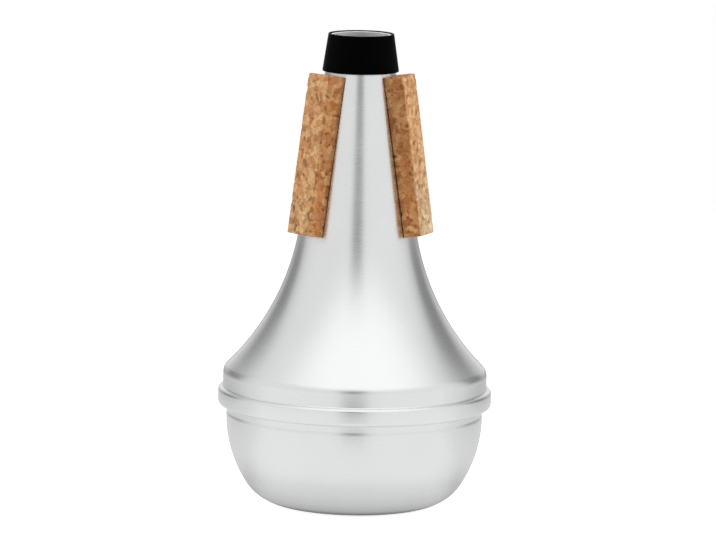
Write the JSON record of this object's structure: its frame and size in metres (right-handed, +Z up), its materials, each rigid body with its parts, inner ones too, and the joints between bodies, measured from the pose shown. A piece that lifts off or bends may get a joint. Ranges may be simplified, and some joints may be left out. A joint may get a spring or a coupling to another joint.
{
  "type": "trumpet straight mute",
  "caption": "Straight mute for a trumpet: a spun metal cone flaring to a closed cup, a black collar round its open throat, and cork strips that grip the inside of the bell.",
  "frame": {"origin": "centre of the flat base, on the surface that the mute stands on", "axes": "+Z up the mute's axis towards the throat, -Y the front, midway between the left and right cork strips, +X to the right"},
  "size_m": [0.0808, 0.0808, 0.1395],
  "materials": {
    "spun_shell": "satin, spun round the axis",
    "spun_cup": "satin, spun round the axis",
    "seam_rubber": "matte",
    "collar_rubber": "satin moulded",
    "cork": "matte, granular natural cork"
  },
  "bodies": {
    "root": {"cone_shell": "spun_shell", "base_cup": "spun_cup", "seam_sealing_ring": "seam_rubber", "throat_collar": "collar_rubber", "cork_strip_left": "cork", "cork_strip_right": "cork", "cork_strip_back": "cork"}
  },
  "joints": []
}
